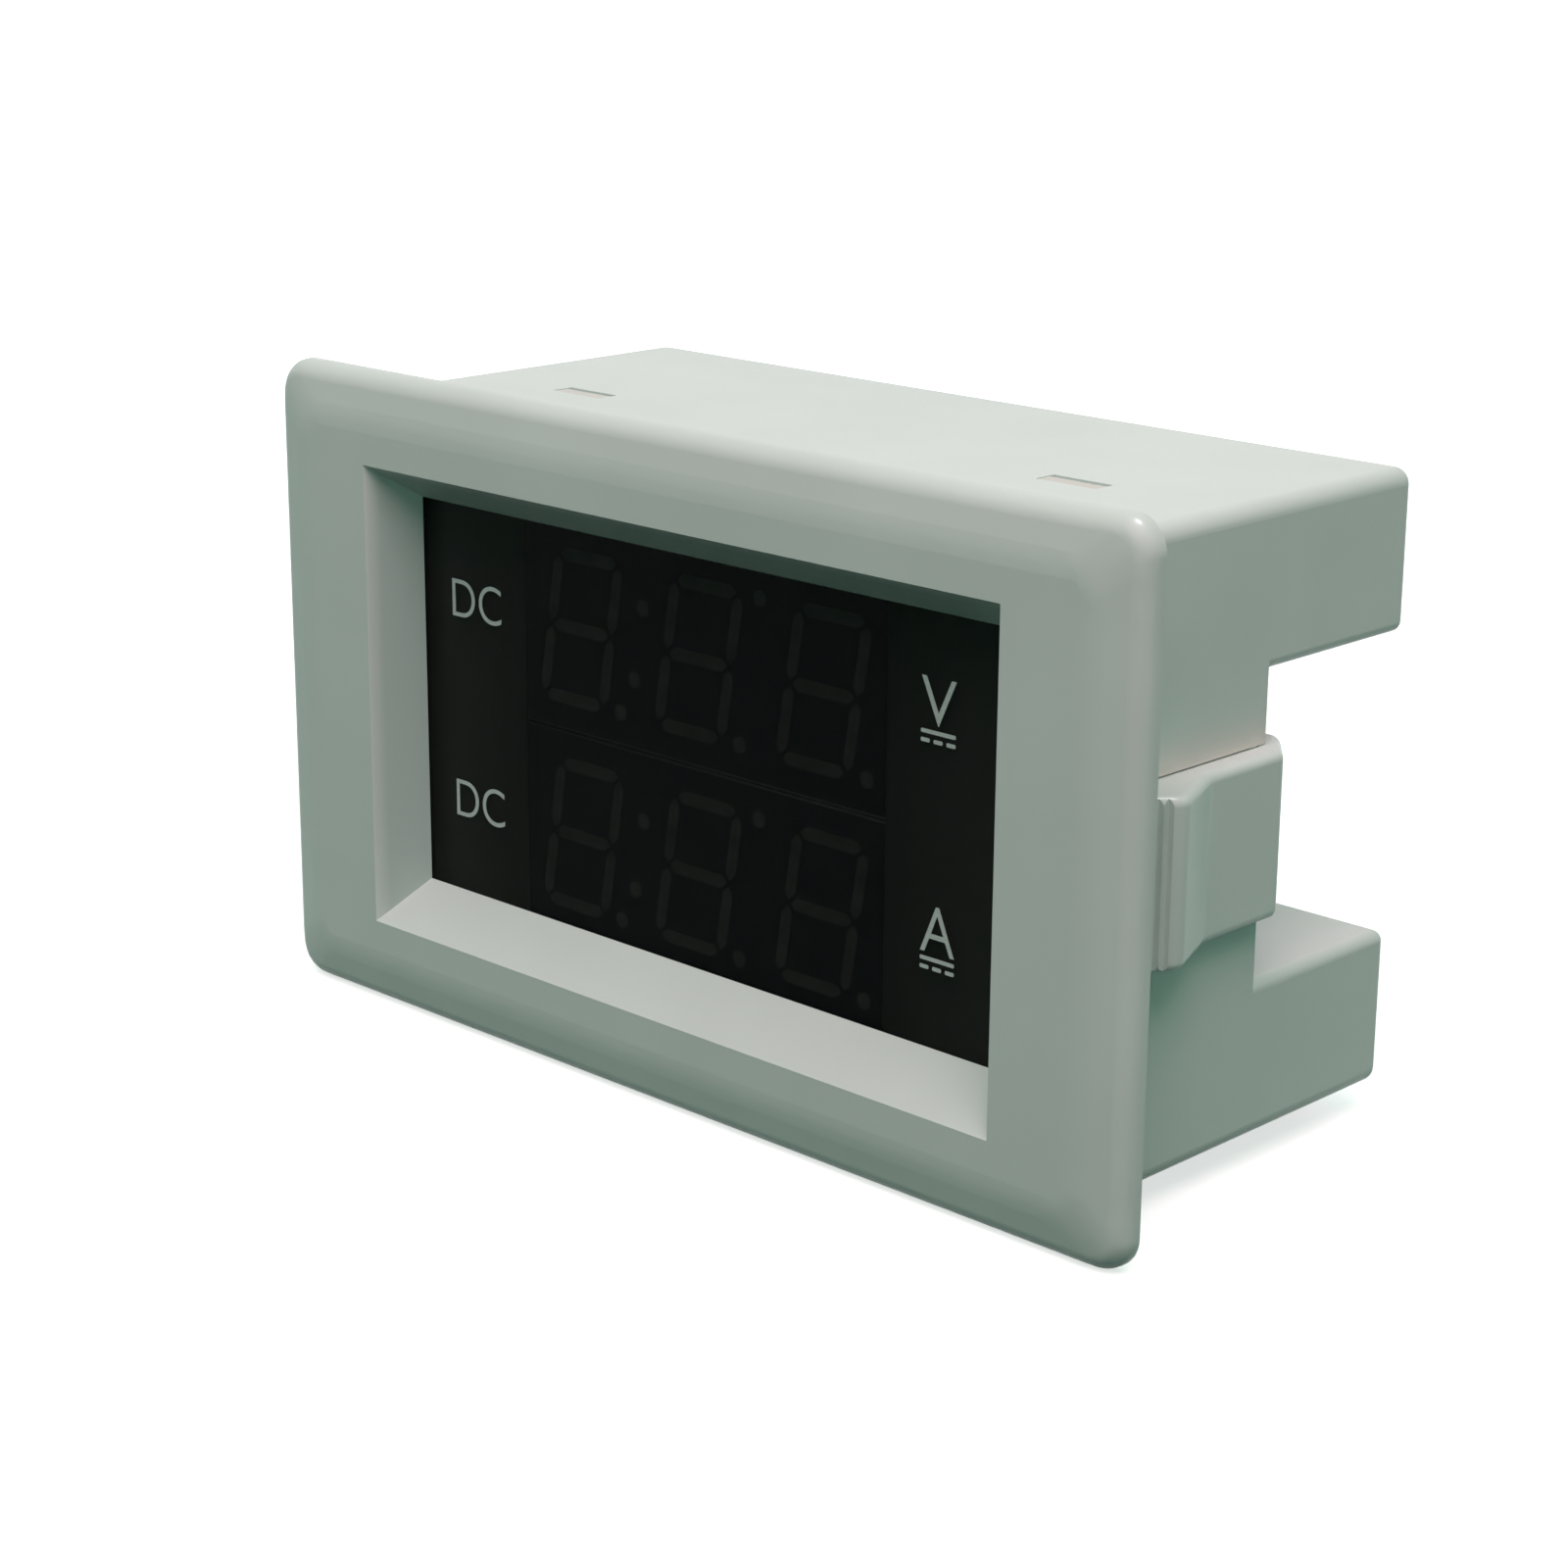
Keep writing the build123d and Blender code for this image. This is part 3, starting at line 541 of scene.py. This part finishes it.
def soften(name, radius, steps=3):
    """Round a node's sharp edges: its triangles are joined first, then bevelled."""
    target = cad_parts[name]
    weld = target.modifiers.new("joined", "WELD")
    weld.merge_threshold = 0.0005 * MM
    bevel = target.modifiers.new("soft_edges", "BEVEL")
    bevel.width = radius
    bevel.segments = steps
    bevel.limit_method = "ANGLE"
    bevel.angle_limit = math.radians(40)
    bevel.use_clamp_overlap = True
    bevel.harden_normals = True


def new_piece(name, mesh, material, body):
    """Link a finished mesh as a piece that rides on a body."""
    mesh.name = name
    mesh.materials.clear()
    mesh.materials.append(material)
    piece = bpy.data.objects.new(name, mesh)
    bpy.context.scene.collection.objects.link(piece)
    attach(piece, body)
    return piece


def letters_mesh(text, width, height, thickness, weight):
    """Text as a closed mesh, stretched to a width and height, standing in X and Z."""
    curve = bpy.data.curves.new("letters", "FONT")
    curve.body = text
    curve.extrude = 0.5
    curve.offset = weight
    holder = bpy.data.objects.new("letters", curve)
    bpy.context.scene.collection.objects.link(holder)
    bpy.context.view_layer.update()
    depsgraph = bpy.context.evaluated_depsgraph_get()
    mesh = bpy.data.meshes.new_from_object(holder.evaluated_get(depsgraph))
    bpy.data.objects.remove(holder)
    bpy.data.curves.remove(curve)
    low = Vector([min(v.co[i] for v in mesh.vertices) for i in range(3)])
    high = Vector([max(v.co[i] for v in mesh.vertices) for i in range(3)])
    mesh.transform(Matrix.Translation(-(low + high) / 2))
    size = high - low
    scale = Matrix.Diagonal((width / size.x, height / size.y, thickness / size.z, 1.0))
    mesh.transform(Matrix.Rotation(math.pi / 2, 4, "X") @ scale)
    return mesh


def bar_mesh(width, height, thickness):
    """A flat printed bar with round corners."""
    shape = bmesh.new()
    bmesh.ops.create_cube(shape, size=1.0, matrix=Matrix.Diagonal((width, thickness, height, 1.0)))
    upright = [e for e in shape.edges if abs(e.verts[0].co.y - e.verts[1].co.y) > thickness / 2]
    bmesh.ops.bevel(shape, geom=upright, offset=height * 0.3, offset_type="OFFSET", segments=4,
                    profile=0.5, affect="EDGES", material=-1, clamp_overlap=True)
    mesh = bpy.data.meshes.new("bar")
    shape.to_mesh(mesh)
    shape.free()
    return mesh


# Operators, one for each group of pieces
class METER_OT_mouldings(bpy.types.Operator):
    """Finish the white frame, housing and clips"""

    bl_idname = "meter.mouldings"
    bl_label = "White Mouldings"

    def execute(self, context):
        finish = context.scene.meter_finish
        dress(MOULDINGS, white_abs(finish))
        soften("front_bezel", finish.moulded_edge)
        soften("housing", finish.seam_edge)
        soften("right_clip", finish.clip_edge)
        soften("left_clip", finish.clip_edge)
        return {"FINISHED"}


class METER_OT_window(bpy.types.Operator):
    """Finish the smoked window and the printed mask behind it"""

    bl_idname = "meter.window"
    bl_label = "Window"

    def execute(self, context):
        finish = context.scene.meter_finish
        dress(("filter_window",), smoked_acrylic(finish))
        dress(("mask_film",), mask_print(finish))
        return {"FINISHED"}


class METER_OT_display(bpy.types.Operator):
    """Finish the two display modules and their segments"""

    bl_idname = "meter.display"
    bl_label = "Display Modules"

    def execute(self, context):
        finish = context.scene.meter_finish
        seam_z = (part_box("led_module_lower")[1][2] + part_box("led_module_upper")[0][2]) / 2
        dress(MODULES, module_face(seam_z))
        dress(SEGMENTS, milky_resin(finish))
        return {"FINISHED"}


class METER_OT_legends(bpy.types.Operator):
    """Print the unit letters and direct-current signs on the window"""

    bl_idname = "meter.legends"
    bl_label = "Legends"

    def execute(self, context):
        legends = context.scene.meter_legends
        ink = legend_ink(context.scene.meter_finish)
        low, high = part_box("filter_window")
        centre = Vector(((low[0] + high[0]) / 2, low[1] - legends.ink / 3, (low[2] + high[2]) / 2))

        def print_mark(name, mesh, x, z):
            mesh.transform(Matrix.Translation(centre + Vector((x, 0, z))))
            new_piece(name, mesh, ink, "meter")

        for row, z in (("upper", legends.pair_up), ("lower", legends.pair_down)):
            pair = letters_mesh("DC", legends.pair_w, legends.letter_h, legends.ink, legends.weight)
            print_mark(f"legend_dc_{row}", pair, legends.pair_x, z)
        dash_w = (legends.unit_w - 2 * legends.dash_gap) / 3
        for letter, x, z in (("V", legends.upper_x, legends.unit_up),
                             ("A", legends.lower_x, legends.unit_down)):
            name = f"legend_{letter.lower()}"
            shape = letters_mesh(letter, legends.unit_w, legends.unit_h, legends.ink, legends.weight)
            letter_z = z + legends.line_step - legends.line_t / 2 + legends.unit_h / 2
            print_mark(name, shape, x, letter_z)
            line = bar_mesh(legends.unit_w, legends.line_t, legends.ink)
            print_mark(f"{name}_line", line, x, z)
            for i in (-1, 0, 1):
                dash = bar_mesh(dash_w, legends.line_t, legends.ink)
                dash_x = x + i * (dash_w + legends.dash_gap)
                print_mark(f"{name}_dash_{i + 2}", dash, dash_x, z - legends.line_step)
        return {"FINISHED"}


class METER_OT_terminals(bpy.types.Operator):
    """Finish the barrier block with its contacts, clamp plates and screws"""

    bl_idname = "meter.terminals"
    bl_label = "Terminals"

    def execute(self, context):
        finish = context.scene.meter_finish
        dress(("terminal_block",), black_moulding("black_phenolic", "#1B1B1A", 0.38, 0.52))
        soften("terminal_block", finish.moulded_edge)
        dress(("terminal_contacts",), nickelled_brass())
        steel = plated_steel()
        for way in range(1, 7):
            dress((f"clamp_plate_{way}", f"terminal_screw_{way}"), steel)
            soften(f"clamp_plate_{way}", finish.metal_edge, steps=2)
        return {"FINISHED"}


class METER_OT_electronics(bpy.types.Operator):
    """Finish the boards and the parts on them"""

    bl_idname = "meter.electronics"
    bl_label = "Electronics"

    def execute(self, context):
        dress(BOARDS, solder_resist())
        dress(TINNED, tinned_wire())
        dress(("board_screws",), bpy.data.materials["zinc_plated_steel"])
        dress(EPOXY, black_moulding("black_epoxy", "#202020", 0.45, 0.6))
        dress(("board_spacers",), plain_resin("natural_nylon", "#D8D4C4", 0.45, 3 * MM))
        dress(("capacitors",), plain_resin("shrunk_sleeve", "#1D2238", 0.25, 4 * MM))
        dress(("inductor_core",), plain_resin("ferrite", "#3A3A3C", 0.6, 1 * MM))
        dress(("inductor_winding",), enamelled_copper())
        dress(("divider_resistors",), plain_resin("blue_lacquer", "#3D6C93", 0.3, 1 * MM))
        return {"FINISHED"}


def seen_directly(tree):
    """1 for rays that show a background: to the camera, in a gloss or through glass."""
    rays = node(tree, "ShaderNodeLightPath").outputs
    seen = rays["Is Camera Ray"]
    for kind in ("Is Glossy Ray", "Is Transmission Ray"):
        seen = node(tree, "ShaderNodeMath", {0: seen, 1: rays[kind]}, operation="MAXIMUM").outputs[0]
    return seen


def floor_material(studio):
    """White paper floor as it is seen, dull cloth as the object's underside sees it."""
    material, tree, output = new_material("paper_floor")
    white = node(tree, "ShaderNodeBsdfDiffuse", {"Color": (0.8, 0.8, 0.8, 1.0)})
    # The lamps light the floor round the meter, so that it is white there with less glow
    away = node(tree, "ShaderNodeVectorMath", {0: place(tree)}, operation="LENGTH").outputs["Value"]
    lift = spread(tree, away, studio.shadow_lift, studio.floor_lift, start=GLOW_START, end=GLOW_END)
    glow = node(tree, "ShaderNodeEmission", {"Strength": lift})
    paper = node(tree, "ShaderNodeAddShader", {0: white.outputs[0], 1: glow.outputs[0]})
    cloth = node(tree, "ShaderNodeEmission", {"Color": opaque(studio.floor_bounce)})
    floor = node(tree, "ShaderNodeMixShader", {
        0: seen_directly(tree), 1: cloth.outputs[0], 2: paper.outputs[0]})
    tree.links.new(floor.outputs[0], output.inputs["Surface"])
    return material


def room_light(studio):
    """A white background for the camera and an even room light for everything else."""
    world = bpy.data.worlds.new("studio_room")
    world.use_nodes = True
    tree = world.node_tree
    tree.nodes.clear()
    colour = blend_colours(tree, seen_directly(tree), studio.sky, (1.0, 1.0, 1.0))
    background = node(tree, "ShaderNodeBackground", {"Color": colour})
    output = node(tree, "ShaderNodeOutputWorld")
    tree.links.new(background.outputs[0], output.inputs["Surface"])
    return world


def area_light(name, power, colour, size, place_at, aim_at):
    """A round soft light that the camera doesn't see."""
    light = bpy.data.lights.new(name, "AREA")
    light.shape = "DISK"
    light.energy = power
    light.color = colour
    light.size = size
    lamp = bpy.data.objects.new(name, light)
    lamp.location = place_at
    lamp.visible_camera = False
    lamp.rotation_euler = (Vector(aim_at) - Vector(place_at)).to_track_quat("-Z", "Y").to_euler()
    bpy.context.scene.collection.objects.link(lamp)
    return lamp


class METER_OT_stage(bpy.types.Operator):
    """Set up the floor, the soft light and the camera"""

    bl_idname = "meter.stage"
    bl_label = "Stage"

    def execute(self, context):
        scene = context.scene
        studio = scene.meter_studio
        shape = bmesh.new()
        bmesh.ops.create_grid(shape, x_segments=1, y_segments=1, size=studio.floor_w / 2)
        mesh = bpy.data.meshes.new("floor")
        shape.to_mesh(mesh)
        shape.free()
        mesh.materials.append(floor_material(studio))
        floor = bpy.data.objects.new("floor", mesh)
        scene.collection.objects.link(floor)
        scene.world = room_light(studio)
        middle = (CAD_BOX[0] + CAD_BOX[1]) / 2
        area_light("key_light", studio.key_power, studio.key_colour, studio.light_size,
                   studio.key_place, middle)
        back = area_light("back_light", studio.back_power, studio.back_colour, studio.light_size,
                          studio.back_place, middle)
        back.visible_glossy = False
        glint = area_light("glint_light", studio.glint_power, (1.0, 1.0, 1.0), studio.glint_size,
                           studio.glint_place, middle)
        glint.visible_diffuse = False
        camera = bpy.data.cameras.new("camera")
        camera.lens = studio.lens
        camera.sensor_width = 36.0
        camera.sensor_fit = "HORIZONTAL"
        camera.clip_start = 0.01
        holder = bpy.data.objects.new("camera", camera)
        holder.location = studio.camera_place
        holder.rotation_euler = studio.camera_turn
        scene.collection.objects.link(holder)
        scene.camera = holder
        scene.view_settings.view_transform = "Standard"
        return {"FINISHED"}


OPERATORS = (
    METER_OT_mouldings,
    METER_OT_window,
    METER_OT_display,
    METER_OT_legends,
    METER_OT_terminals,
    METER_OT_electronics,
    METER_OT_stage,
)
GROUPS = {"meter_finish": MeterFinish, "meter_legends": MeterLegends, "meter_studio": MeterStudio}


class METER_PT_sidebar(bpy.types.Panel):
    """Lists the meter's settings and operators"""

    bl_idname = "METER_PT_sidebar"
    bl_label = "Digital Panel Meter"
    bl_space_type = "VIEW_3D"
    bl_region_type = "UI"
    bl_category = "Meter"

    def draw(self, context):
        for name, group in GROUPS.items():
            box = self.layout.box()
            for key in group.__annotations__:
                box.prop(getattr(context.scene, name), key)
        for operator in OPERATORS:
            self.layout.operator(operator.bl_idname)


def register():
    for group in GROUPS.values():
        bpy.utils.register_class(group)
    for name, group in GROUPS.items():
        setattr(bpy.types.Scene, name, bpy.props.PointerProperty(type=group))
    for operator in OPERATORS:
        bpy.utils.register_class(operator)
    bpy.utils.register_class(METER_PT_sidebar)


def unregister():
    bpy.utils.unregister_class(METER_PT_sidebar)
    for operator in reversed(OPERATORS):
        bpy.utils.unregister_class(operator)
    for name in GROUPS:
        delattr(bpy.types.Scene, name)
    for group in GROUPS.values():
        bpy.utils.unregister_class(group)


def main():
    register()
    bpy.ops.meter.mouldings()
    bpy.ops.meter.window()
    bpy.ops.meter.display()
    bpy.ops.meter.legends()
    bpy.ops.meter.terminals()
    bpy.ops.meter.electronics()
    bpy.ops.meter.stage()


if __name__ == "__main__":
    main()
